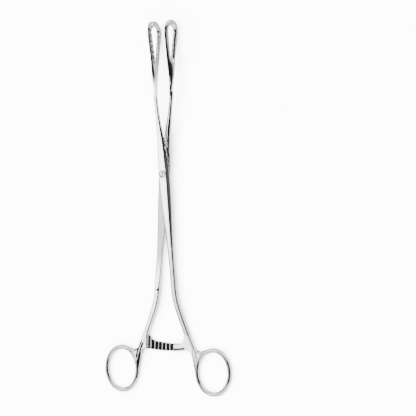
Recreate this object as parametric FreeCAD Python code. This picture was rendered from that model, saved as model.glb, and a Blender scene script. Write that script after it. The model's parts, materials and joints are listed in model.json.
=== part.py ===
import FreeCAD, Part

import math
import os

# Ovum forceps: two forged steel arms that cross at a half-lapped screw joint.
#
# Each arm is drawn with the jaws closed. X runs from the joint to the jaw tips, Y is sideways,
# and Z is the screw's axis, upwards. The front arm has its jaw at +Y and its ring at -Y. The
# back arm is the same forging turned half a turn about X. The finished arms are then opened
# to the first ratchet tooth and laid on the table. All sizes are in millimetres and degrees.

V = FreeCAD.Vector
ALONG = V(1, 0, 0)
ACROSS = V(0, 1, 0)
UP = V(0, 0, 1)

# Whole instrument
jaw_reach = 116.0            # joint screw to jaw tips
ring_reach = 149.3           # joint screw to ring centres, along the instrument
ring_side = 33.4             # ring centre to the mid-line with the jaws closed
rest_half_angle = 2.75       # each arm's opening at the first ratchet tooth
overlap = 0.1                # how far joined or cutting bodies run past each other

# Jaw, seen on its toothed face
jaw_width = 17.6
jaw_taper = 10.7             # half-angle of the sides below the round end
jaw_neck_blend = 8.0         # length of the curve from the tapered sides into the shank
jaw_thickness = 3.1          # margin to the crown of the back
jaw_rim = 0.75               # height of the edge around the back
jaw_toe_in = 1.6             # the tips meet before the rest of the jaws
window_width = 9.6
window_end_width = 4.0
window_start = 4.2           # tip to the near end of the window
window_length = 26.0
window_wall = 0.9            # straight part of the window's wall, up from the margin
window_flare = 45.0          # lean of the rest of the wall, which widens towards the back
margin_width = 1.1           # smooth band outside the toothed land
land_length = 33.3           # tip to the foot of the land
land_end_width = 5.8
land_height = 0.35
tooth_count = 15
tooth_height = 1.0
tooth_crest = 0.3            # width of the little flat on each tooth
tooth_width = 2.5
tooth_gap = 0.15             # root between two teeth in the row
jaw_clearance = 0.15         # tooth crests to the mid-line at the tips, closed
jaw_standoff = jaw_clearance + tooth_height + land_height

# Shanks and joint
neck_width = 2.8
neck_thickness = 2.5
neck_side = 3.45             # shank's distance from the mid-line, closed
neck_tuck = 0.8              # shank's end, hidden in the jaw's foot, as a share of the neck
joint_width = 9.6
joint_flat = 5.8             # front face between its two bevels
joint_thickness = 6.0
joint_side_height = 1.0      # narrow upright edge between the bevels
handle_width = 4.3
handle_thickness = 3.7
handle_side = 3.1
lap_gap = 0.1                # running gap between the two lapped faces
lap_half_length = 6.0        # full-width part of the lap, each way from the screw
joint_grinding = 0.15        # taken off each face of the joint to make it flat
shoulder_clearance = 0.15

# Screw
screw_head_diameter = 4.8
screw_head_depth = 1.4
screw_head_proud = 0.25
screw_head_bevel = 0.3
screw_shank_diameter = 3.2
screw_hole_clearance = 0.04  # radial, in the front arm
head_side_clearance = 0.1
head_seat_clearance = 0.05
slot_width = 0.75
slot_depth = 0.8
slot_angle = -24.0           # from the instrument's length
rivet_diameter = 4.2         # closed-over end at the back
rivet_depth = 0.7

# Finger rings
ring_hole_length = 29.6
ring_hole_width = 24.9
ring_band = 3.1
ring_thickness = 3.7

# Ratchet
ratchet_setback = 16.4       # ring centres to the bars' handle side, along the instrument
ratchet_bar_height = 5.4
ratchet_thickness = 4.1      # both bars together
ratchet_gap = 0.24           # between the two rows of crests
ratchet_pitch = 3.38
ratchet_depth = 1.15
ratchet_crest_share = 0.28   # flat crest of each tooth, as a share of the pitch
ratchet_ramp_share = 0.7     # ramp of each tooth space, as a share of the space
ratchet_tip_land = 0.5       # end of a bar to the middle of its first crest
ratchet_edge_radius = 0.85   # of the two bevels that stand for a round long edge
ratchet_face_bevel = 1.9     # width of the bevel on a bar's plain face, ring side
ratchet_step = 3.8           # full-thickness root of a bar, sideways from the arm's middle
ratchet_step_lean = 26.0     # of the step's wall, from upright
front_bar_tip = -0.8         # sideways place of the front arm's bar tip, closed
front_bar_rise = 0.0         # extra height of the bar at its root
front_bar_fillet = 3.3
back_bar_tip = -12.7
back_bar_rise = 1.6
back_bar_fillet = 4.1
bar_end_clearance = 0.6
ratchet_radius = ring_reach - ratchet_setback

# Course of the arm. Shank rows, screw towards jaw: share of the jaw's reach, share of the
# neck's sideways place, share of the joint's section.
shank_course = [
    (0.086, 0.12, 0.92),
    (0.172, 0.26, 0.68),
    (0.250, 0.49, 0.38),
    (0.328, 0.78, 0.16),
    (0.397, 0.99, 0.04),
]
# Handle rows, screw towards rings: share of the ring's reach, share of the handle's sideways
# place, share of the joint's section.
handle_course = [
    (0.080, 0.13, 0.96),
    (0.188, 0.34, 0.72),
    (0.322, 0.63, 0.30),
    (0.442, 0.84, 0.05),
    (0.549, 1.00, 0.00),
]
# Bow rows, down to the ring: share of the ring's reach, share of the way out to the ring's
# band, width and thickness as shares of the handle's.
bow_course = [
    (0.623, 0.045, 1.0, 1.0),
    (0.683, 0.173, 1.0, 1.0),
    (0.750, 0.382, 1.0, 1.0),
    (0.817, 0.603, 1.02, 1.0),
    (0.871, 0.788, 1.06, 1.0),
    (0.911, 0.92, 1.06, 0.99),
    (0.944, 0.965, 0.98, 0.95),
    (0.978, 0.99, 0.78, 0.88),
    (1.005, 1.0, 0.56, 0.8),
]


def point(x, y, z=0.0):
    return V(x, y, z)


def solid_of(shape):
    """The one solid of a boolean result, with seams between like faces removed."""
    cleaned = shape.removeSplitter()
    if len(cleaned.Solids) == 1:
        return cleaned.Solids[0]
    return cleaned


def turned(shape, angle, axis, centre=V(0, 0, 0)):
    copy = shape.copy()
    copy.rotate(centre, axis, angle)
    return copy


# Jaw

def taper_outline(end_radius, end_at, foot_radius, foot_at):
    """Closed teardrop in the jaw's face: two round ends joined by their tangents.
    Distances run from the tip towards the joint."""
    lean = math.asin((end_radius - foot_radius) / (foot_at - end_at))
    cos_lean = math.cos(lean)
    sin_lean = math.sin(lean)

    def on_round(centre, radius, across, along):
        return point(jaw_reach - centre + radius * along, 0, radius * across)

    end_left = on_round(end_at, end_radius, cos_lean, -sin_lean)
    end_right = on_round(end_at, end_radius, -cos_lean, -sin_lean)
    foot_left = on_round(foot_at, foot_radius, cos_lean, -sin_lean)
    foot_right = on_round(foot_at, foot_radius, -cos_lean, -sin_lean)
    tip = on_round(end_at, end_radius, 0, 1)
    foot = on_round(foot_at, foot_radius, 0, -1)
    edges = [
        Part.Arc(end_right, tip, end_left).toShape(),
        Part.LineSegment(end_left, foot_left).toShape(),
        Part.Arc(foot_left, foot, foot_right).toShape(),
        Part.LineSegment(foot_right, end_right).toShape(),
    ]
    return Part.Face(Part.Wire(edges))


def jaw_line_length():
    """Tip to where the tapered side would meet the shank's edge."""
    taper = math.radians(jaw_taper)
    radius = jaw_width / 2
    drop = radius / math.cos(taper) - neck_thickness / 2
    return radius + drop / math.tan(taper)


def jaw_foot_length():
    """Tip to the end of the jaw's blend into the shank."""
    return jaw_line_length() + jaw_neck_blend


def jaw_outline():
    """Outer outline of the jaw on its toothed face, down to the shank."""
    taper = math.radians(jaw_taper)
    radius = jaw_width / 2
    centre_x = jaw_reach - radius
    meet = jaw_line_length()
    half_neck = neck_thickness / 2
    blend_start = point(
        jaw_reach - meet + jaw_neck_blend * math.cos(taper),
        0,
        half_neck + jaw_neck_blend * math.sin(taper),
    )
    blend_end = point(jaw_reach - meet - jaw_neck_blend, 0, half_neck)
    blend_radius = jaw_neck_blend / math.tan(taper / 2)
    blend_mid = point(
        blend_end.x + blend_radius * math.sin(taper / 2),
        0,
        half_neck + blend_radius * (1 - math.cos(taper / 2)),
    )
    side_start = point(centre_x - radius * math.sin(taper), 0, radius * math.cos(taper))

    def mirrored(p):
        return point(p.x, 0, -p.z)

    tip = point(jaw_reach, 0, 0)
    edges = [
        Part.Arc(mirrored(side_start), tip, side_start).toShape(),
        Part.LineSegment(side_start, blend_start).toShape(),
        Part.Arc(blend_start, blend_mid, blend_end).toShape(),
        Part.LineSegment(blend_end, mirrored(blend_end)).toShape(),
        Part.Arc(mirrored(blend_end), mirrored(blend_mid), mirrored(blend_start)).toShape(),
        Part.LineSegment(mirrored(blend_start), mirrored(side_start)).toShape(),
    ]
    return Part.Face(Part.Wire(edges))


def back_section(x, half_width, rim, crown):
    """Cross-section of the jaw's blank: flat face, low upright rims and a round back."""
    corner_low = point(x, 0, -half_width)
    corner_high = point(x, 0, half_width)
    rim_low = point(x, rim, -half_width)
    rim_high = point(x, rim, half_width)
    top = point(x, crown, 0)
    edges = [
        Part.LineSegment(rim_low, corner_low).toShape(),
        Part.LineSegment(corner_low, corner_high).toShape(),
        Part.LineSegment(corner_high, rim_high).toShape(),
        Part.Arc(rim_high, top, rim_low).toShape(),
    ]
    return Part.Wire(edges)


def jaw_blank():
    """Solid jaw before its window: the outline cut from a lofted round-backed bar."""
    radius = jaw_width / 2
    spare = 1.06
    wide = radius * spare
    narrow = neck_thickness / 2 * spare
    middle = (wide + narrow) / 2
    neck_x = jaw_reach - jaw_foot_length()
    span = jaw_reach - radius - neck_x
    sections = [
        back_section(neck_x, narrow, neck_width * 0.62, neck_width),
        back_section(neck_x + span * 0.25, narrow * 1.35, neck_width * 0.48, neck_width * 1.05),
        back_section(neck_x + span * 0.62, middle * 1.12, jaw_rim, jaw_thickness),
        back_section(jaw_reach - radius, wide, jaw_rim, jaw_thickness),
        back_section(jaw_reach - radius * 0.45, wide, jaw_rim, jaw_thickness * 0.9),
        back_section(jaw_reach + overlap, wide, jaw_rim * 0.8, jaw_thickness * 0.42),
    ]
    bar = Part.makeLoft(sections, True, False)
    depth = jaw_thickness * 3
    outline = jaw_outline()
    outline.translate(ACROSS * -depth / 2)
    return bar.common(outline.extrude(ACROSS * depth))


def tooth(length):
    """Pyramid with a small flat crest, standing up along -Y, its row along X."""
    half_long = length / 2
    half_wide = tooth_width / 2
    half_crest = tooth_crest / 2

    def frame(half_x, half_z, y):
        corners = [
            point(-half_x, y, -half_z),
            point(half_x, y, -half_z),
            point(half_x, y, half_z),
            point(-half_x, y, half_z),
            point(-half_x, y, -half_z),
        ]
        return Part.makePolygon(corners)

    slope_long = (half_long - half_crest) / tooth_height
    slope_wide = (half_wide - half_crest) / tooth_height
    base = frame(half_long + slope_long * overlap, half_wide + slope_wide * overlap, overlap)
    crest = frame(half_crest, half_crest, -tooth_height)
    return Part.makeLoft([base, crest], True, True)


def tooth_row():
    """Teeth placed along the middle of the land, six up each side and three round the tip."""
    land_radius = jaw_width / 2 - margin_width
    window_radius = window_width / 2
    end_radius = (land_radius + window_radius) / 2
    end_at = (jaw_width / 2 + window_start + window_radius) / 2
    foot_radius = (land_end_width + window_end_width) / 4
    land_foot_at = land_length - land_end_width / 2
    window_foot_at = window_start + window_length - window_end_width / 2
    foot_at = (land_foot_at + window_foot_at) / 2
    lean = math.asin((end_radius - foot_radius) / (foot_at - end_at))
    arc_half = end_radius * (math.pi / 2 + lean)
    side = (foot_at - end_at) * math.cos(lean)
    pitch = 2 * (arc_half + side) / tooth_count
    one = tooth(pitch - tooth_gap)
    row = []
    for number in range(tooth_count):
        travel = (number - (tooth_count - 1) / 2) * pitch
        hand = math.copysign(1, travel)
        reach = abs(travel)
        if reach < arc_half:
            turn = reach / end_radius
            x = jaw_reach - end_at + end_radius * math.cos(turn)
            z = end_radius * math.sin(turn)
            heading = 90 + math.degrees(turn)
        else:
            down = reach - arc_half
            x = jaw_reach - end_at - end_radius * math.sin(lean) - down * math.cos(lean)
            z = end_radius * math.cos(lean) - down * math.sin(lean)
            heading = 180 + math.degrees(lean)
        placed = turned(one, -heading * hand, ACROSS)
        placed.translate(point(x, 0, z * hand))
        row.append(placed)
    return row


def jaw_window():
    """Space of the window: straight through the margin, then flaring towards the back."""

    def outline(spread):
        radius = window_width / 2
        foot = window_end_width / 2
        end_at = window_start + radius
        foot_at = window_start + window_length - foot
        return taper_outline(radius + spread, end_at, foot + spread, foot_at)

    depth = land_height + 2 * tooth_height + window_wall
    straight = outline(0)
    straight.translate(ACROSS * (window_wall - depth))
    narrow = outline(0).OuterWire
    narrow.translate(ACROSS * window_wall)
    wide = outline(jaw_thickness * math.tan(math.radians(window_flare))).OuterWire
    wide.translate(ACROSS * (window_wall + jaw_thickness))
    return straight.extrude(ACROSS * depth).fuse(Part.makeLoft([narrow, wide], True, True))


def jaw():
    """Fenestrated jaw of the front arm, toothed face towards the mid-line."""
    blank = jaw_blank()
    land_radius = jaw_width / 2 - margin_width
    land_foot = land_length - land_end_width / 2
    land = taper_outline(land_radius, jaw_width / 2, land_end_width / 2, land_foot)
    land.translate(ACROSS * -land_height)
    land = land.extrude(ACROSS * (land_height + jaw_rim / 2))
    teeth = tooth_row()
    for each in teeth:
        each.translate(ACROSS * -land_height)
    standing = blank.fuse([land] + teeth).cut(jaw_window())
    standing.translate(ACROSS * jaw_standoff)
    tip = point(jaw_reach, jaw_clearance)
    return turned(solid_of(standing), -jaw_toe_in, UP, tip)


# Arm

def octagon(x, side, width, flat, thickness, edge):
    """Cross-section of an arm: a bevelled bar, square to X, its middle at Y = side."""
    half_width = width / 2
    half_flat = flat / 2
    half_thick = thickness / 2
    half_edge = edge / 2
    corners = [
        point(x, side + half_flat, half_thick),
        point(x, side + half_width, half_edge),
        point(x, side + half_width, -half_edge),
        point(x, side + half_flat, -half_thick),
        point(x, side - half_flat, -half_thick),
        point(x, side - half_width, -half_edge),
        point(x, side - half_width, half_edge),
        point(x, side - half_flat, half_thick),
    ]
    return Part.makePolygon(corners + [corners[0]])


def blend(first, second, share):
    return tuple(a + (b - a) * share for a, b in zip(first, second))


def arm_stations():
    """Stations of the arm from the jaw's foot to the finger ring, as
    (along, side, width, flat, thickness, edge)."""
    neck = (neck_width, neck_width * 0.55, neck_thickness, neck_thickness * 0.5)
    joint_height = joint_thickness + 2 * joint_grinding
    joint = (joint_width, joint_flat, joint_height, joint_side_height)
    handle = (handle_width, handle_width * 0.7, handle_thickness, handle_thickness * 0.6)
    foot = jaw_foot_length()
    foot_side = jaw_standoff + foot * math.sin(math.radians(jaw_toe_in)) + neck_width / 2
    tucked = tuple(size * neck_tuck for size in neck)
    stations = [
        (jaw_reach - foot + jaw_neck_blend / 2, foot_side) + tucked,
        (jaw_reach - foot - jaw_neck_blend / 2, (foot_side + neck_side) / 2) + neck,
    ]
    for along, out, share in reversed(shank_course):
        stations.append((along * jaw_reach, out * neck_side) + blend(neck, joint, share))
    stations.append((0, 0) + joint)
    for along, out, share in handle_course:
        stations.append((-along * ring_reach, -out * handle_side) + blend(handle, joint, share))
    band_side = ring_side - (ring_hole_width + ring_band) / 2
    for along, out, wide, thick in bow_course:
        side = handle_side + (band_side - handle_side) * out
        width, flat, thickness, edge = handle
        section = (width * wide, flat * wide, thickness * thick, edge * thick)
        stations.append((-along * ring_reach, -side) + section)
    return stations


def arm_bar():
    """The arm's bar, with the joint ground flat on both faces."""
    sections = [octagon(*station) for station in arm_stations()]
    bar = Part.makeLoft(sections, True, False)
    corner = point(-ring_reach, -ring_reach, -joint_thickness / 2)
    between = Part.makeBox(2 * ring_reach, 2 * ring_reach, joint_thickness, corner)
    return bar.common(between)


def arm_side(along):
    """Sideways place of the arm's middle at a distance along the instrument."""
    stations = arm_stations()
    for near, far in zip(stations, stations[1:]):
        if near[0] >= along >= far[0]:
            share = (near[0] - along) / (near[0] - far[0])
            return near[1] + (far[1] - near[1]) * share
    return stations[-1][1]


def finger_ring():
    """Oval ring with a rounded band, its long axis along the instrument at rest. The oval is
    four arcs: a tighter one at each end and a wider one at each side."""
    half_long = (ring_hole_length + ring_band) / 2
    half_wide = (ring_hole_width + ring_band) / 2
    tightest = half_wide * half_wide / half_long
    end_radius = tightest + (half_wide - tightest) * 0.35
    centre_x = half_long - end_radius
    excess = half_wide * half_wide - end_radius * end_radius
    side_radius = (centre_x * centre_x + excess) / (2 * (half_wide - end_radius))
    centre_y = half_wide - side_radius
    end_turn = math.degrees(math.atan2(-centre_y, centre_x))
    section = Part.Ellipse(V(0, 0, 0), ring_thickness / 2, ring_band / 2)
    profile = Part.Face(Part.Wire([section.toShape()]))
    profile.rotate(V(0, 0, 0), ACROSS, 90)
    profile.rotate(V(0, 0, 0), UP, 90)

    def band(centre, radius, heading, half_turn):
        placed = profile.copy()
        placed.translate(point(radius, 0))
        arc = turned(placed, heading - half_turn, UP).revolve(V(0, 0, 0), UP, 2 * half_turn)
        arc.translate(centre)
        return arc

    ring = band(point(centre_x, 0), end_radius, 0, end_turn).fuse([
        band(point(0, centre_y), side_radius, 90, 90 - end_turn),
        band(point(-centre_x, 0), end_radius, 180, end_turn),
        band(point(0, -centre_y), side_radius, 270, 90 - end_turn),
    ])
    ring = turned(ring, -rest_half_angle, UP)
    ring.translate(point(-ring_reach, -ring_side))
    return ring


def on_ratchet(radius, side):
    return point(-math.sqrt(radius * radius - side * side), side)


def ring_shoulder():
    """Web between the arm and the ring: a rounded strand that carries the arm's outer edge
    over into the ring's near end, and the plate behind it."""
    half_long = (ring_hole_length + ring_band) / 2
    half_wide = (ring_hole_width + ring_band) / 2
    top = -ring_reach + half_long
    band_side = -ring_side + half_wide
    strand_width = ring_band * 0.8
    strand_thickness = ring_thickness * 0.92
    tuck = (handle_width - strand_width) / 2
    path = [
        point(top + ring_band * 2, arm_side(top + ring_band * 2) - tuck),
        point(top + ring_band * 0.6, arm_side(top + ring_band * 0.6) - tuck),
        point(top - ring_band * 0.4, band_side - ring_band * 0.35),
        point(top - ring_band * 0.6, band_side - ring_band * 1.2),
        point(top - ring_band * 0.4, band_side - ring_band * 2.4),
        point(top - ring_band * 0.1, band_side - ring_band * 3.8),
    ]
    curve = Part.BSplineCurve()
    curve.interpolate(path)
    heading = curve.tangent(curve.FirstParameter)[0]
    section = Part.Ellipse(V(0, 0, 0), strand_thickness / 2, strand_width / 2)
    profile = Part.Wire([section.toShape()])
    profile.rotate(V(0, 0, 0), ACROSS, 90)
    profile.rotate(V(0, 0, 0), UP, math.degrees(math.atan2(heading.y, heading.x)))
    profile.translate(path[0])
    strand = Part.Wire([curve.toShape()]).makePipeShell([profile], True, False)

    def on_band(turn):
        angle = math.radians(turn)
        x = half_long * math.cos(angle) - ring_reach
        return point(x, half_wide * math.sin(angle) - ring_side)

    joined = path[1:-1] + [on_band(45), on_band(70)]
    joined.append(point(joined[-1].x + ring_band, arm_side(joined[-1].x + ring_band)))
    plate = Part.Face(Part.makePolygon(joined + [joined[0]]))
    thickness = strand_thickness * 0.9
    plate.translate(UP * -thickness / 2)
    return strand.fuse(plate.extrude(UP * thickness))


def ratchet_root():
    """Sideways place of the arm's middle where the ratchet bar leaves it."""
    return arm_side(ratchet_bar_height * 1.4 - ratchet_radius)


def upper_arc(tip, rise, flare):
    """Three points of a bar's jaw side, from the end of its root fillet to the tip."""
    inner = ratchet_radius - ratchet_bar_height
    start = on_ratchet(inner - rise, ratchet_root() + flare * 2.1)
    middle = on_ratchet(inner - rise / 2, (start.y + tip) / 2)
    return [start, middle, on_ratchet(inner, tip)]


def ratchet_outline(tip, rise, flare):
    """Outline of a ratchet bar: an arc about the screw, flared where it leaves the arm."""
    inner = ratchet_radius - ratchet_bar_height
    root = ratchet_root()
    arc = upper_arc(tip, rise, flare)
    upper = [
        on_ratchet(inner - flare * 2.4, root + flare * 0.6),
        on_ratchet(inner - flare * 1.4, root + flare),
        on_ratchet(inner - flare * 0.35 - rise * 0.7, root + flare * 1.5),
        arc[0],
    ]
    upper_edge = Part.BSplineCurve()
    upper_edge.interpolate(upper)
    tip_outer = on_ratchet(ratchet_radius, tip)
    lower = [
        on_ratchet(ratchet_radius, root + flare * 1.1),
        on_ratchet(ratchet_radius + flare * 0.15, root + flare * 0.25),
        on_ratchet(ratchet_radius + flare * 0.7, root - flare * 0.5),
        on_ratchet(ratchet_radius + flare * 1.6, root - flare * 0.85),
    ]
    lower_edge = Part.BSplineCurve()
    lower_edge.interpolate(lower)
    half_way = on_ratchet(ratchet_radius, (tip + lower[0].y) / 2)
    inside = on_ratchet(ratchet_radius, root - flare)
    edges = [
        upper_edge.toShape(),
        Part.Arc(*arc).toShape(),
        Part.LineSegment(arc[-1], tip_outer).toShape(),
        Part.Arc(tip_outer, half_way, lower[0]).toShape(),
        lower_edge.toShape(),
        Part.LineSegment(lower[-1], inside).toShape(),
        Part.LineSegment(inside, upper[0]).toShape(),
    ]
    return Part.Face(Part.Wire(edges))


def edge_rounding(centre, corner, width, edge, middle, start):
    """Cutter that takes one long edge of a bar off in two bevels. The edge runs round the
    centre at the corner's radius, from the start sideways. The bevels reach the given width
    into the bar, outwards where it is positive, and end at the middle height."""
    up = edge - middle
    bend = 1 - math.sqrt(0.5)
    profile = Part.makePolygon([
        point(corner, 0, middle),
        point(corner + bend * width, 0, edge - bend * up),
        point(corner + width, 0, edge),
        point(corner + width, 0, edge + up),
        point(corner - width, 0, edge + up),
        point(corner - width, 0, middle),
        point(corner, 0, middle),
    ])
    cutter = Part.Face(profile).revolve(V(0, 0, 0), UP, 360)
    cutter.translate(centre)
    reach = ratchet_radius * 1.1
    span = Part.makeBox(reach, reach, 2 * reach, point(-reach, start, -reach))
    return cutter.common(span)


def ratchet_valley(start, wall):
    """Space between two saw teeth: a ramp down towards the tip, a short floor, then an
    upright wall up to the next crest."""
    floor = ratchet_gap / 2
    reach = ratchet_radius + ratchet_bar_height
    foot = start + (wall - start) * ratchet_ramp_share
    profile = Part.makePolygon([
        point(-reach, start, 0),
        point(-reach, start, floor),
        point(-reach, foot, floor + ratchet_depth),
        point(-reach, wall, floor + ratchet_depth),
        point(-reach, wall, 0),
        point(-reach, start, 0),
    ])
    return Part.Face(profile).extrude(ALONG * (ratchet_bar_height * 3))


def bar_roundings(tip, rise, flare):
    """Cutters for the four long edges of a ratchet bar."""
    floor = ratchet_gap / 2
    top = ratchet_thickness / 2
    radius = ratchet_edge_radius
    arc = upper_arc(tip, rise, flare)
    circle = Part.Circle(*arc)
    upper = (circle.Center, circle.Radius, radius)
    lower_start = ratchet_root() + flare * 1.1
    centre = V(0, 0, 0)
    return [
        edge_rounding(*upper, floor, floor + radius, arc[0].y),
        edge_rounding(*upper, top, top - radius, arc[0].y),
        edge_rounding(centre, ratchet_radius, -radius, floor, floor + radius, lower_start),
        edge_rounding(centre, ratchet_radius, -ratchet_face_bevel, top, top - radius, lower_start),
    ]


def ratchet_bar(tip, rise, flare):
    """Bar in the upper half of the arm's thickness, with saw teeth on its underside. Its root
    has nearly the arm's full thickness and ends in a leaning step."""
    floor = ratchet_gap / 2
    top = ratchet_thickness / 2
    bottom = -handle_thickness * 0.48
    outline = ratchet_outline(tip, rise, flare)
    outline.translate(UP * bottom)
    bar = outline.extrude(UP * (top - bottom))
    step = ratchet_root() + ratchet_step
    lean = (floor - bottom) * 2 * math.tan(math.radians(ratchet_step_lean))
    reach = ratchet_radius * 1.1
    below = Part.makePolygon([
        point(-reach, step, floor),
        point(-reach, tip + ratchet_pitch, floor),
        point(-reach, tip + ratchet_pitch, bottom * 2 - floor),
        point(-reach, step - lean, bottom * 2 - floor),
        point(-reach, step, floor),
    ])
    cutters = bar_roundings(tip, rise, flare)
    wall = tip - ratchet_tip_land - ratchet_pitch * ratchet_crest_share / 2
    space = ratchet_pitch * (1 - ratchet_crest_share)
    while wall > step + ratchet_depth:
        cutters.append(ratchet_valley(max(wall - space, step), wall))
        wall -= ratchet_pitch
    return bar.cut(Part.Face(below).extrude(ALONG * reach)).cut(cutters)


def lap_recess():
    """What the front arm leaves free below the lap: the closed back arm's outline, and the
    full width round the screw."""
    left = []
    right = []
    handle_end = -handle_course[-1][0] * ring_reach
    shank_end = shank_course[-1][0] * jaw_reach
    for along, side, width, flat, thickness, edge in arm_stations():
        if handle_end <= along <= shank_end:
            reach = width / 2 + shoulder_clearance
            left.append(point(along, -side + reach))
            right.append(point(along, -side - reach))
    left_edge = Part.BSplineCurve()
    left_edge.interpolate(left)
    right_edge = Part.BSplineCurve()
    right_edge.interpolate(right)
    edges = [
        left_edge.toShape(),
        Part.LineSegment(left[-1], right[-1]).toShape(),
        right_edge.toShape(),
        Part.LineSegment(right[0], left[0]).toShape(),
    ]
    depth = joint_thickness
    outline = Part.Face(Part.Wire(edges))
    outline.translate(UP * (lap_gap / 2 - depth))
    band = outline.extrude(UP * depth)
    across = joint_width * 1.5
    block = Part.makeBox(
        2 * lap_half_length,
        across,
        depth,
        point(-lap_half_length, -across / 2, lap_gap / 2 - depth),
    )
    return band.fuse(block)


def bar_relief(other_tip):
    """Room under the arm for the other arm's ratchet bar when the jaws close."""
    reach = bar_end_clearance - other_tip
    inner = ratchet_radius - ratchet_bar_height - bar_end_clearance
    x = -ratchet_radius - bar_end_clearance
    return Part.makeBox(
        -math.sqrt(inner * inner - reach * reach) - x,
        reach,
        ratchet_thickness,
        point(x, -reach, ratchet_gap / 2 - ratchet_thickness),
    )


def forged_arm(bar_tip, bar_rise, bar_fillet):
    blank = arm_bar().fuse([jaw(), finger_ring(), ring_shoulder()])
    lapped = blank.cut(lap_recess())
    return solid_of(lapped.fuse(ratchet_bar(bar_tip, bar_rise, bar_fillet)))


def front_arm():
    """Arm that carries the screw's head in a counterbore."""
    top = joint_thickness / 2
    hole = Part.makeCylinder(
        screw_shank_diameter / 2 + screw_hole_clearance,
        joint_thickness,
        point(0, 0, -top),
    )
    seat = Part.makeCylinder(
        screw_head_diameter / 2 + head_side_clearance,
        screw_head_depth + top,
        point(0, 0, top - screw_head_depth),
    )
    arm = forged_arm(front_bar_tip, front_bar_rise, front_bar_fillet)
    return solid_of(arm.cut([hole, seat, bar_relief(back_bar_tip)]))


def rivet_end(clearance):
    """Cone of the screw's closed-over end, opening towards the back face."""
    back = -joint_thickness / 2
    return Part.makeCone(
        rivet_diameter / 2 + clearance,
        screw_shank_diameter / 2 + clearance,
        rivet_depth,
        point(0, 0, back),
    )


def back_arm():
    """The same forging turned over, with the hole that holds the screw."""
    arm = forged_arm(-back_bar_tip, back_bar_rise, back_bar_fillet)
    arm = turned(arm, 180, ALONG)
    top = joint_thickness / 2
    hole = Part.makeCylinder(screw_shank_diameter / 2, joint_thickness, point(0, 0, -top))
    return solid_of(arm.cut([hole, rivet_end(0)]))


def joint_screw():
    top = joint_thickness / 2
    seat = top - screw_head_depth + head_seat_clearance
    head_height = top + screw_head_proud - seat
    radius = screw_head_diameter / 2
    head = Part.makeCylinder(radius, head_height - screw_head_bevel, point(0, 0, seat))
    crown = Part.makeCone(
        radius,
        radius - screw_head_bevel,
        screw_head_bevel,
        point(0, 0, seat + head_height - screw_head_bevel),
    )
    shank = Part.makeCylinder(screw_shank_diameter / 2, seat + top, point(0, 0, -top))
    slot = Part.makeBox(
        screw_head_diameter * 1.2,
        slot_width,
        slot_depth + overlap,
        point(-screw_head_diameter * 0.6, -slot_width / 2, top + screw_head_proud - slot_depth),
    )
    slot = turned(slot, slot_angle, UP)
    body = head.fuse([crown, shank, rivet_end(0)])
    return solid_of(body.cut(slot))


# Pose and table

def ring_rest_place():
    """Ring centre of the front arm once it is opened to rest."""
    angle = math.radians(rest_half_angle)
    x = -ring_reach * math.cos(angle) + ring_side * math.sin(angle)
    return x


def table_tilt():
    """Lean about Y that lets the jaw edges and the ring ends touch the table together."""
    jaw_x = (jaw_reach - jaw_width / 2) * math.cos(math.radians(rest_half_angle))
    ring_x = ring_rest_place() - (ring_hole_length + ring_band) / 2
    rise = jaw_width / 2 - ring_thickness / 2
    return math.degrees(math.asin(rise / (jaw_x - ring_x)))


def main():
    os.makedirs("parts", exist_ok=True)
    nodes = {
        "front_arm": turned(front_arm(), rest_half_angle, UP),
        "back_arm": turned(back_arm(), -rest_half_angle, UP),
        "joint_screw": joint_screw(),
    }
    tilt = table_tilt()
    for name in nodes:
        nodes[name] = turned(nodes[name], -tilt, ACROSS)
    points = []
    for shape in nodes.values():
        points.extend(shape.tessellate(0.05)[0])
    low_x = min(p.x for p in points)
    high_x = max(p.x for p in points)
    low_z = min(p.z for p in points)
    shift = point(-(low_x + high_x) / 2, 0, -low_z)
    for name, shape in nodes.items():
        shape.translate(shift)
        print(name, len(shape.Solids), shape.isValid(), round(shape.Volume, 1))
        shape.exportStep("parts/" + name + ".step")
    axis = turned(Part.Vertex(0, 0, 1), -tilt, ACROSS).Point
    print("tilt", round(tilt, 4))
    print("pivot", round(shift.x, 3), round(shift.z, 3))
    print("axis", round(axis.x, 5), round(axis.z, 5))
    print("length", round(high_x - low_x, 2))


main()
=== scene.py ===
# %% [markdown]
# # Ovum forceps
# Two forged stainless steel arms cross at a screw joint. The shapes come from the frame, which
# holds the real sizes. This lesson gives them a camera, a studio and a finish. Polished steel
# has hardly any colour of its own: nearly all that is seen on it is a reflection, so the bright
# and dark parts of the studio matter as much as the material.

import json
import math

import bmesh
import bpy
from mathutils import Matrix, Vector

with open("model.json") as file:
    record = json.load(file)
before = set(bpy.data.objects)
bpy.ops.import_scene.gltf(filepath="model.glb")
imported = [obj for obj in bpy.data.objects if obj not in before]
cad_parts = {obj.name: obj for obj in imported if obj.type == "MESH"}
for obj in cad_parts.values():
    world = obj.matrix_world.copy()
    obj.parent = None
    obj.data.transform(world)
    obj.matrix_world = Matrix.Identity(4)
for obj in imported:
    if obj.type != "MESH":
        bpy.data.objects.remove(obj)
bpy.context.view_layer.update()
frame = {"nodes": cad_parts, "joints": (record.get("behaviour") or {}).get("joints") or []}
scene = bpy.context.scene
print("nodes", sorted(frame["nodes"]))

# %% [markdown]
# ## Camera
# The photograph looks down on the joint from about 30 degrees to one side, with the jaws at the
# top. A camera could be placed by eye, but then every change means a new guess. The joint's
# screw is the one point that is easy to find in the picture and in the frame, so the camera is
# worked out from it: its distance, its place in the picture, and a small roll. A long lens
# keeps the two arms nearly parallel, as they are in the photograph.

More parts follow.
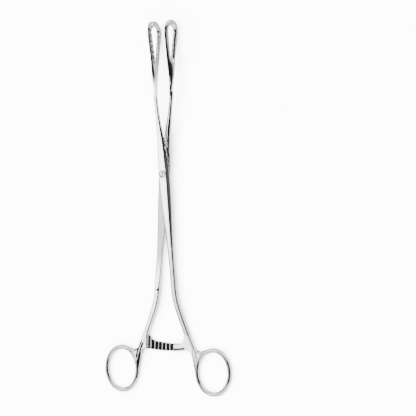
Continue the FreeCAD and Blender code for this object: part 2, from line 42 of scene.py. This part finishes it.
# %% Camera
PICTURE_SIZE = 416           # pixels each way
SCREW_PIXEL = (164.5, 174.3)
MM_PER_PIXEL = 0.7527        # at the screw's distance
CAMERA_DISTANCE = 1.2
CAMERA_SIDE_ANGLE = math.radians(31.0)
CAMERA_ROLL = 0.0135         # sideways drift of the instrument's axis in the picture
SENSOR_WIDTH = 36.0          # millimetres
NEAREST_SEEN = 0.05
FARTHEST_SEEN = 20.0

joint = frame["joints"][0]
screw_place = Vector(joint["pos_m"])
screw_axis = Vector(joint["axis"]).normalized()
across = Vector((0, 1, 0))
along = across.cross(screw_axis).normalized()


def camera_axes():
    """Right, up and backward directions of the camera, in the frame."""
    side, lift = math.sin(CAMERA_SIDE_ANGLE), math.cos(CAMERA_SIDE_ANGLE)
    back = (screw_axis * lift - across * side).normalized()
    right = -across * lift - screw_axis * side
    up = (along + right * CAMERA_ROLL).normalized()
    return up.cross(back).normalized(), up, back


def camera_lens(metres_per_pixel):
    """Lens and clipping of a camera that shows this much per pixel at the screw."""
    data = bpy.data.cameras.new("camera")
    data.sensor_width = SENSOR_WIDTH
    data.lens = CAMERA_DISTANCE / (metres_per_pixel * PICTURE_SIZE) * data.sensor_width
    data.clip_start = NEAREST_SEEN
    data.clip_end = FARTHEST_SEEN
    return data


def add_camera():
    """Camera that puts the screw on its own pixel."""
    metres_per_pixel = MM_PER_PIXEL / 1000
    right, up, back = camera_axes()
    middle = PICTURE_SIZE / 2
    sideways = (SCREW_PIXEL[0] - middle) * metres_per_pixel
    upwards = (middle - SCREW_PIXEL[1]) * metres_per_pixel
    place = screw_place - right * sideways - up * upwards + back * CAMERA_DISTANCE
    camera = bpy.data.objects.new("camera", camera_lens(metres_per_pixel))
    turn = Matrix((right, up, back)).transposed()
    camera.matrix_world = Matrix.Translation(place) @ turn.to_4x4()
    scene.collection.objects.link(camera)
    scene.camera = camera
    return camera


camera = add_camera()
print("lens mm", round(camera.data.lens, 1), "camera at", [round(v, 3) for v in camera.location])

# %% [markdown]
# ## Run-out of the lap
# Below the joint the front arm crosses over the back arm. A forger leaves no step beside the
# place where it crosses: the back arm's lap face runs out in one long shallow ramp, up to the
# full thickness of the handle. The solid has a narrow raised strip there. It could be sculpted
# away by hand, but a hidden cutter with the ramp's outline and a Boolean modifier do it from a
# few named lengths, and the mesh itself stays as it came. The front arm is left as it is.

# %% Run-out of the lap
LAP_FACE = -0.00005          # height of the lap face, from the middle of the joint
LAP_START = -0.0055          # along the instrument, from the screw
RAMP_START = -0.050
RAMP_END = -0.1058
RAMP_TOP = 0.0026            # above the handle's face, so that the ramp crosses it
RAMP_STEPS = 10
CUTTER_REACH = 0.03
JOINED_WITHIN = 0.000002     # corners closer than this are one corner


def run_out_profile():
    """Points (along, height) of the lap face and its ramp, then back above the arm."""
    points = [(LAP_START, LAP_FACE)]
    for step in range(RAMP_STEPS + 1):
        share = step / RAMP_STEPS
        rise = share * share * (3 - 2 * share)
        place = RAMP_START + (RAMP_END - RAMP_START) * share
        points.append((place, LAP_FACE + (RAMP_TOP - LAP_FACE) * rise))
    points.append((RAMP_END, CUTTER_REACH))
    points.append((LAP_START, CUTTER_REACH))
    return points


def run_out_mesh(name):
    """The profile, drawn out across the instrument into a closed solid."""
    shape = bmesh.new()
    corners = []
    for place, height in run_out_profile():
        spot = screw_place + along * place + screw_axis * height
        corners.append(shape.verts.new(spot - across * CUTTER_REACH))
    face = shape.faces.new(corners)
    grown = bmesh.ops.extrude_face_region(shape, geom=[face])["geom"]
    far = [part for part in grown if isinstance(part, bmesh.types.BMVert)]
    bmesh.ops.translate(shape, verts=far, vec=across * 2 * CUTTER_REACH)
    bmesh.ops.recalc_face_normals(shape, faces=shape.faces[:])
    mesh = bpy.data.meshes.new(name)
    shape.to_mesh(mesh)
    shape.free()
    return mesh


def add_planer(name):
    """Hidden solid that a modifier takes away."""
    planer = bpy.data.objects.new(name, run_out_mesh(name))
    scene.collection.objects.link(planer)
    planer.hide_render = True
    planer.hide_viewport = True
    return planer


def plane_down(node, planer):
    """Joins the node's loose triangles and takes the planer's space away."""
    item = frame["nodes"][node]
    weld = item.modifiers.new("joined", "WELD")
    weld.merge_threshold = JOINED_WITHIN
    cut = item.modifiers.new("planed", "BOOLEAN")
    cut.operation = "DIFFERENCE"
    cut.solver = "EXACT"
    cut.object = planer
    return item


planed = plane_down("back_arm", add_planer("lap_planer_front"))
print("planed", planed.name, "from", LAP_START, "to", RAMP_END)

# %% [markdown]
# ## Table
# The instrument lies on a plain white table. A backdrop that curves up behind it would do as
# well, but the photograph looks down and never sees past the table, so one flat face is enough.
# The table is kept out of the reflections, so that the tent alone decides how the steel looks.

# %% Table
TABLE_SIZE = 6.0
TABLE_WHITE = 0.95


def white_paint():
    """Matt white."""
    material = bpy.data.materials.new("table_white")
    material.use_nodes = True
    paint = material.node_tree.nodes["Principled BSDF"]
    paint.inputs["Base Color"].default_value = (TABLE_WHITE, TABLE_WHITE, TABLE_WHITE, 1)
    paint.inputs["Roughness"].default_value = 1.0
    return material


def add_table():
    """One large face at the height that the instrument lies on."""
    mesh = bpy.data.meshes.new("table_top")
    half = TABLE_SIZE / 2
    corners = [(-half, -half, 0), (half, -half, 0), (half, half, 0), (-half, half, 0)]
    mesh.from_pydata(corners, [], [(0, 1, 2, 3)])
    table = bpy.data.objects.new("table_top", mesh)
    scene.collection.objects.link(table)
    table.visible_glossy = False
    mesh.materials.append(white_paint())
    return table


table = add_table()
print("table", TABLE_SIZE, "metres each way")

# %% [markdown]
# ## Table light
# The photograph's background is white and the shadow is almost gone, as under a large soft box.
# One wide lamp overhead gives that. It lights the table only: it is kept out of the reflections,
# because polished steel would show it as a hard white square.

# %% Table light
LIGHT_WATTS = 1000.0
LIGHT_SIZE = 4.0
LIGHT_PLACE = (0, 0.1, 1.6)


def add_table_light():
    """Large soft panel overhead that lights the table and casts a faint shadow."""
    data = bpy.data.lights.new("table_light", "AREA")
    data.energy = LIGHT_WATTS
    data.size = LIGHT_SIZE
    light = bpy.data.objects.new("table_light", data)
    light.location = LIGHT_PLACE
    light.visible_glossy = False
    scene.collection.objects.link(light)
    return light


table_light = add_table_light()
print("table light", table_light.data.energy, "watts")

# %% [markdown]
# ## Node helpers
# The studio and the steel are both made with shader nodes, and the same few steps come back in
# each: bring a value from one span to another, do a sum, or read a level off a list of stops.
# Each step is one short function here, so the cells below say what is built and not how the
# nodes are wired.

# %% Node helpers
def spread_values(tree, value, start, end, low, high):
    """Map Range node from start-end to low-high; returns its output."""
    spread = tree.nodes.new("ShaderNodeMapRange")
    spread.inputs["From Min"].default_value = start
    spread.inputs["From Max"].default_value = end
    spread.inputs["To Min"].default_value = low
    spread.inputs["To Max"].default_value = high
    tree.links.new(value, spread.inputs["Value"])
    return spread.outputs["Result"]


def calculate(tree, operation, first, second=None):
    """Math node; the second input may be a number or another node's output."""
    node = tree.nodes.new("ShaderNodeMath")
    node.operation = operation
    tree.links.new(first, node.inputs[0])
    if isinstance(second, float):
        node.inputs[1].default_value = second
    elif second is not None:
        tree.links.new(second, node.inputs[1])
    return node.outputs[0]


def read_stops(tree, value, ends, stops, most):
    """Level at a value, off a list of (value, level) stops; most is the ramp's white."""
    start, end = ends
    share = spread_values(tree, value, start, end, 0.0, 1.0)
    ramp = tree.nodes.new("ShaderNodeValToRGB")
    points = ramp.color_ramp.elements
    while len(points) < len(stops):
        points.new(0.5)
    for point, (place, level) in zip(points, stops):
        point.position = (place - start) / (end - start)
        point.color = [level / most] * 3 + [1]
    tree.links.new(share, ramp.inputs["Fac"])
    return calculate(tree, "MULTIPLY", ramp.outputs["Color"], most)


def split_vector(tree, vector):
    """Separate XYZ node on a vector."""
    split = tree.nodes.new("ShaderNodeSeparateXYZ")
    tree.links.new(vector, split.inputs[0])
    return split


def reach_along(tree, vector, direction):
    """How far a vector reaches along a fixed direction."""
    node = tree.nodes.new("ShaderNodeVectorMath")
    node.operation = "DOT_PRODUCT"
    node.inputs[1].default_value = direction
    tree.links.new(vector, node.inputs[0])
    return node.outputs["Value"]


print("helpers ready: spread, calculate, read stops, split, reach")

# %% [markdown]
# ## Light tent
# In the photograph the flat front faces are nearly white, every rounded edge on the right has a
# thin black line, and the bevels beyond it are white again. A flat face shows one direction of
# the studio and a rounded edge sweeps through many, so those lines give the tent away: a white
# panel up on the left, darkness round the camera, and a bright strip low on the right. Lamps
# could stand there, but a world whose brightness follows the direction has no hard edges and is
# set from three short lists. The left panel ends before the rings' end of the tent, and that
# darkness blackens the jaws' necks. It fades out towards the jaws as well. Two softer panels
# beyond the ends are hardly seen from the camera: they keep the steel from turning black in
# views along the instrument.

# %% Light tent
SURROUND = [                 # degrees from straight up, towards the left, and brightness
    (-180, 0.05),
    (-150, 0.2),
    (-108, 0.1),
    (-80, 0.05),
    (-50, 0.02),
    (20, 0.015),
    (50, 0.04),
    (80, 0.06),
    (93, 0.2),
    (104, 0.06),
    (126, 0.01),
]
LEFT_PANEL = [
    (20, 0.0),
    (26, 4.0),
    (30, 6.0),
    (36, 6.0),
    (41, 1.5),
    (47, 0.3),
    (54, 0.05),
    (60, 0.0),
]
RIGHT_STRIP = [
    (-180, 0.8),
    (-165, 1.6),
    (-148, 3.0),
    (-112, 2.5),
    (-98, 0.7),
    (-86, 0.4),
    (-74, 0.0),
    (122, 0.0),
    (140, 0.3),
    (180, 0.8),
]
PANEL_END = (-0.2, -0.06)    # where the left panel fades out towards the rings' end
PANEL_START = (0.5, 0.2)     # where it fades out towards the jaws
END_PANELS = (0.57, 0.66)    # where the panels beyond both ends of the instrument begin
END_HEIGHTS = (-0.6, 0.4)    # between these heights they grow brighter
END_LEVELS = (0.15, 1.8)


def brightness_round(tree, turn, stops):
    """Brightness by the angle round the instrument, from stops in degrees."""
    brightest = max(level for angle, level in stops)
    in_radians = [(math.radians(angle), level) for angle, level in stops]
    return read_stops(tree, turn, (-math.pi, math.pi), in_radians, brightest)


def fade_along(tree, light, place, ends):
    """The light, multiplied by 0 before the first end and by 1 past the second."""
    return calculate(tree, "MULTIPLY", light, spread_values(tree, place, *ends, 0.0, 1.0))


def end_panels(tree, split):
    """Soft light beyond both ends, for views along the instrument."""
    outwards = calculate(tree, "ABSOLUTE", split.outputs["X"])
    level = spread_values(tree, split.outputs["Z"], *END_HEIGHTS, *END_LEVELS)
    return fade_along(tree, level, outwards, END_PANELS)


def hang_tent():
    """World whose brightness depends on the direction round the instrument's length."""
    world = bpy.data.worlds.new("light_tent")
    scene.world = world
    world.use_nodes = True
    tree = world.node_tree
    direction = tree.nodes.new("ShaderNodeTexCoord")
    split = split_vector(tree, direction.outputs["Generated"])
    turn = calculate(tree, "ARCTAN2", split.outputs["Y"], split.outputs["Z"])
    panel = brightness_round(tree, turn, LEFT_PANEL)
    for ends in (PANEL_END, PANEL_START):
        panel = fade_along(tree, panel, split.outputs["X"], ends)
    level = brightness_round(tree, turn, SURROUND)
    for light in (panel, brightness_round(tree, turn, RIGHT_STRIP), end_panels(tree, split)):
        level = calculate(tree, "ADD", level, light)
    tree.links.new(level, tree.nodes["Background"].inputs["Color"])
    return world


tent = hang_tent()
print("tent", tent.name, "with stops", len(SURROUND) + len(LEFT_PANEL) + len(RIGHT_STRIP))

# %% [markdown]
# ## Buffed streaks
# The arms are satin-polished stainless steel. A buffing wheel leaves very fine lines along the
# arm, so the roughness varies in long streaks rather than in spots. A picture of scratches could
# be laid on the steel, but noise that is stretched along the instrument needs no unwrapping and
# stays sharp close up. It is one node group, which the arms and the screw share with different
# values.

# %% Buffed streaks
STREAK_STRETCH = (0.06, 1.0, 1.0)
STREAK_DETAIL = 4.0
STREAK_SPAN = (0.3, 0.7)     # the noise hardly ever leaves these levels


def add_sockets(group, direction, names):
    """One number socket in the group's interface for each name."""
    for name in names:
        group.interface.new_socket(name, in_out=direction, socket_type="NodeSocketFloat")


def buffed_streaks():
    """Node group: fine streaks along X, as a height and as a roughness."""
    group = bpy.data.node_groups.new("buffed_streaks", "ShaderNodeTree")
    add_sockets(group, "INPUT", ("Scale", "Low Roughness", "High Roughness"))
    add_sockets(group, "OUTPUT", ("Height", "Roughness"))
    nodes, links = group.nodes, group.links
    entry = nodes.new("NodeGroupInput")
    leave = nodes.new("NodeGroupOutput")
    place = nodes.new("ShaderNodeTexCoord")
    stretch = nodes.new("ShaderNodeMapping")
    stretch.inputs["Scale"].default_value = STREAK_STRETCH
    noise = nodes.new("ShaderNodeTexNoise")
    noise.inputs["Detail"].default_value = STREAK_DETAIL
    links.new(place.outputs["Object"], stretch.inputs["Vector"])
    links.new(stretch.outputs["Vector"], noise.inputs["Vector"])
    links.new(entry.outputs["Scale"], noise.inputs["Scale"])
    rough = spread_values(group, noise.outputs["Fac"], *STREAK_SPAN, 0.0, 1.0)
    links.new(entry.outputs["Low Roughness"], rough.node.inputs["To Min"])
    links.new(entry.outputs["High Roughness"], rough.node.inputs["To Max"])
    links.new(noise.outputs["Fac"], leave.inputs["Height"])
    links.new(rough, leave.inputs["Roughness"])
    return group


streaks = buffed_streaks()
print("group", streaks.name, "with", len(streaks.nodes), "nodes")

# %% [markdown]
# ## Ground lap and painted shade on the toothed faces
# Two kinds of face are set apart. The flat faces of the lap are ground, so they are duller, and
# the insides of the jaws, between the teeth, get painted shade: a darker colour in place of the
# shade that falls there. Each could be a material of its own on chosen faces, but those faces
# have other numbers whenever the mesh is made anew. So one node group finds them by where they
# are and which way they face: the lap by its height from the middle of the joint, the jaws by
# looking at each other.

# %% Ground lap and painted shade on the toothed faces
GROUND_TO = 0.0002           # height up to which the face is ground all over
BUFFED_FROM = 0.0016         # height from which it is buffed
FACING = (0.85, 0.95)        # how squarely the face looks along the screw
JAW_START = (0.09, 0.1)      # along the instrument
INWARD = (0.7, 0.9)          # how squarely the face looks at the other jaw


def squarely(tree, normal, direction, span):
    """0 to 1 by how squarely a face looks one way or the opposite way."""
    reach = calculate(tree, "ABSOLUTE", reach_along(tree, normal, direction))
    return spread_values(tree, reach, *span, 0.0, 1.0)


def lap_share(tree, place, normal):
    """1 on the flat faces close to the middle of the joint's height."""
    reach = reach_along(tree, place, screw_axis)
    middle = screw_place.dot(screw_axis)
    height = calculate(tree, "ABSOLUTE", calculate(tree, "SUBTRACT", reach, middle))
    low_down = spread_values(tree, height, GROUND_TO, BUFFED_FROM, 1.0, 0.0)
    return calculate(tree, "MULTIPLY", low_down, squarely(tree, normal, screw_axis, FACING))


def tooth_shade_share(tree, place, normal):
    """1 on the faces of the jaws that look at the other jaw, where shade is painted."""
    length = split_vector(tree, place).outputs["X"]
    at_jaw = spread_values(tree, length, *JAW_START, 0.0, 1.0)
    return calculate(tree, "MULTIPLY", at_jaw, squarely(tree, normal, across, INWARD))


def ground_lap_and_tooth_shade():
    """Node group: one mask for the ground faces of the lap, one for the painted shade on the
    toothed faces.
    """
    group = bpy.data.node_groups.new("ground_lap_and_tooth_shade", "ShaderNodeTree")
    add_sockets(group, "OUTPUT", ("Lap", "Painted_Shade"))
    leave = group.nodes.new("NodeGroupOutput")
    place = group.nodes.new("ShaderNodeTexCoord").outputs["Object"]
    normal = group.nodes.new("ShaderNodeNewGeometry").outputs["Normal"]
    group.links.new(lap_share(group, place, normal), leave.inputs["Lap"])
    group.links.new(tooth_shade_share(group, place, normal), leave.inputs["Painted_Shade"])
    return group


lap_and_tooth_shade_mask = ground_lap_and_tooth_shade()
print("group", lap_and_tooth_shade_mask.name, "with", len(lap_and_tooth_shade_mask.nodes), "nodes")

# %% [markdown]
# ## Soft edges
# The buffing wheel softens the edges, widely on the shanks and handles and hardly at all
# between the ratchet's teeth. Real fillets of changing width are hard to cut into such thin
# twisted bars, and the edges are too small for their outline to show. A Bevel node bends only
# the shading, and its radius is read off two lists, one for each side of the instrument.

# %% Soft edges
RIGHT_EDGES = [              # place along the instrument and edge width, in metres
    (-0.14, 0.0024),
    (-0.113, 0.0024),
    (-0.110, 0.0005),
    (-0.097, 0.0005),
    (-0.094, 0.003),
    (-0.04, 0.003),
    (0.0, 0.0014),
    (0.03, 0.001),
    (0.06, 0.001),
    (0.09, 0.0008),
    (0.105, 0.0018),
    (0.14, 0.0018),
]
LEFT_EDGES = [
    (-0.14, 0.0024),
    (-0.113, 0.0024),
    (-0.110, 0.0005),
    (-0.097, 0.0005),
    (-0.094, 0.0014),
    (-0.03, 0.001),
    (0.0, 0.001),
    (0.03, 0.001),
    (0.06, 0.0008),
    (0.09, 0.0006),
    (0.105, 0.0018),
    (0.14, 0.0018),
]
WIDEST_EDGE = 0.004
SIDES_MEET = 0.0015          # on either side of the middle, the two lists blend


def edge_width(tree, place, stops):
    """Edge width by the place along the instrument."""
    return read_stops(tree, place, (stops[0][0], stops[-1][0]), stops, WIDEST_EDGE)


def soft_edge_width(tree):
    """Edge width of both sides, blended across the middle."""
    place = tree.nodes.new("ShaderNodeTexCoord")
    split = split_vector(tree, place.outputs["Object"])
    blend = tree.nodes.new("ShaderNodeMix")
    left = spread_values(tree, split.outputs["Y"], -SIDES_MEET, SIDES_MEET, 0.0, 1.0)
    tree.links.new(left, blend.inputs["Factor"])
    tree.links.new(edge_width(tree, split.outputs["X"], RIGHT_EDGES), blend.inputs["A"])
    tree.links.new(edge_width(tree, split.outputs["X"], LEFT_EDGES), blend.inputs["B"])
    return blend.outputs["Result"]


print("edge widths, millimetres", sorted({round(width * 1000, 1) for place, width in RIGHT_EDGES}))

# %% [markdown]
# ## Polished steel
# The arms and the screw are the same kind of steel, the screw a little darker and rougher.
# Their material is a plain metal with three things on it: the streaks in its roughness, the
# same streaks as a very low bump, and soft edges under that bump. One function makes it, so the
# two can differ only in the values that they are given.

# %% Polished steel
EDGE_SAMPLES = 8
STREAK_STRENGTH = 0.05
STREAK_HEIGHT = 0.00005
ARM_COLOUR = (0.86, 0.89, 0.895)
ARM_ROUGHNESS = (0.05, 0.1)
ARM_STREAKS = 2500
SCREW_COLOUR = (0.8, 0.81, 0.82)
SCREW_ROUGHNESS = (0.1, 0.18)
SCREW_STREAKS = 3000
SCREW_EDGE = 0.0006


def add_group(tree, group, name):
    """Node that holds a node group, under a name to find it by."""
    node = tree.nodes.new("ShaderNodeGroup")
    node.node_tree = group
    node.name = name
    return node


def soften_edges(tree):
    """Bevel node, whose normal is rounded off near an edge."""
    rounding = tree.nodes.new("ShaderNodeBevel")
    rounding.name = "soft_edges"
    rounding.samples = EDGE_SAMPLES
    return rounding.outputs["Normal"]


def edge_radius(material):
    """The input that holds the width of the material's soft edges."""
    return material.node_tree.nodes["soft_edges"].inputs["Radius"]


def steel(name, colour, roughness, scale):
    """Polished steel with fine streaks; the width of its soft edges is set afterwards."""
    material = bpy.data.materials.new(name)
    material.use_nodes = True
    tree = material.node_tree
    metal = tree.nodes["Principled BSDF"]
    metal.inputs["Metallic"].default_value = 1.0
    metal.inputs["Base Color"].default_value = (*colour, 1)
    lines = add_group(tree, streaks, "streaks")
    lines.inputs["Scale"].default_value = scale
    lines.inputs["Low Roughness"].default_value = roughness[0]
    lines.inputs["High Roughness"].default_value = roughness[1]
    tree.links.new(lines.outputs["Roughness"], metal.inputs["Roughness"])
    bump = tree.nodes.new("ShaderNodeBump")
    bump.inputs["Strength"].default_value = STREAK_STRENGTH
    bump.inputs["Distance"].default_value = STREAK_HEIGHT
    tree.links.new(lines.outputs["Height"], bump.inputs["Height"])
    tree.links.new(soften_edges(tree), bump.inputs["Normal"])
    tree.links.new(bump.outputs["Normal"], metal.inputs["Normal"])
    return material


arm_steel = steel("arm_steel", ARM_COLOUR, ARM_ROUGHNESS, ARM_STREAKS)
screw_steel = steel("screw_steel", SCREW_COLOUR, SCREW_ROUGHNESS, SCREW_STREAKS)
edge_radius(screw_steel).default_value = SCREW_EDGE
print("materials", arm_steel.name, screw_steel.name)

# %% [markdown]
# ## Worn and ground places and painted shade on the arms
# Only the arms have a lap, teeth and edges that the wheel met unevenly, and only their toothed
# faces get painted shade. Those could be more inputs of the function above, but the screw would
# carry them for nothing, so they are added to the arms' material afterwards: the masks and the
# two lists of widths take the place of the plain values.

# %% Worn and ground places and painted shade on the arms
GROUND_ROUGHNESS = 0.3       # added to the streaks' own
# painted shade: the dark colour that stands in for the shade between the jaws' teeth
TOOTH_SHADE_COLOUR = (0.3, 0.32, 0.325)


def dull_the_lap(tree, mask):
    """Makes the ground faces rougher than the buffed ones."""
    ground = calculate(tree, "MULTIPLY", mask.outputs["Lap"], GROUND_ROUGHNESS)
    rough = calculate(tree, "ADD", tree.nodes["streaks"].outputs["Roughness"], ground)
    tree.links.new(rough, tree.nodes["Principled BSDF"].inputs["Roughness"])


def paint_shade_between_teeth(tree, mask):
    """Paints shade onto the faces between the teeth, as a darker base colour."""
    metal = tree.nodes["Principled BSDF"]
    shade_mix = tree.nodes.new("ShaderNodeMix")
    shade_mix.data_type = "RGBA"
    shade_mix.inputs["A"].default_value = metal.inputs["Base Color"].default_value
    shade_mix.inputs["B"].default_value = (*TOOTH_SHADE_COLOUR, 1)
    tree.links.new(mask.outputs["Painted_Shade"], shade_mix.inputs["Factor"])
    tree.links.new(shade_mix.outputs["Result"], metal.inputs["Base Color"])


def wear_and_shade_the_arms(material):
    """Adds the ground lap, the painted shade between the teeth and the changing edge width."""
    tree = material.node_tree
    mask = add_group(tree, lap_and_tooth_shade_mask, "lap_and_tooth_shade_mask")
    dull_the_lap(tree, mask)
    paint_shade_between_teeth(tree, mask)
    tree.links.new(soft_edge_width(tree), edge_radius(material))


wear_and_shade_the_arms(arm_steel)
print("arm steel has", len(arm_steel.node_tree.nodes), "nodes")

# %% [markdown]
# ## Dress the pieces
# A forceps like this is all steel, so each piece has one material over the whole of it. The
# frame's own plain material is taken off first.

# %% Dress the pieces
def dress(node, material):
    """Gives the piece one material."""
    item = frame["nodes"][node]
    item.data.materials.clear()
    item.data.materials.append(material)
    print(node, "wears", material.name)


dress("front_arm", arm_steel)
dress("back_arm", arm_steel)
dress("joint_screw", screw_steel)
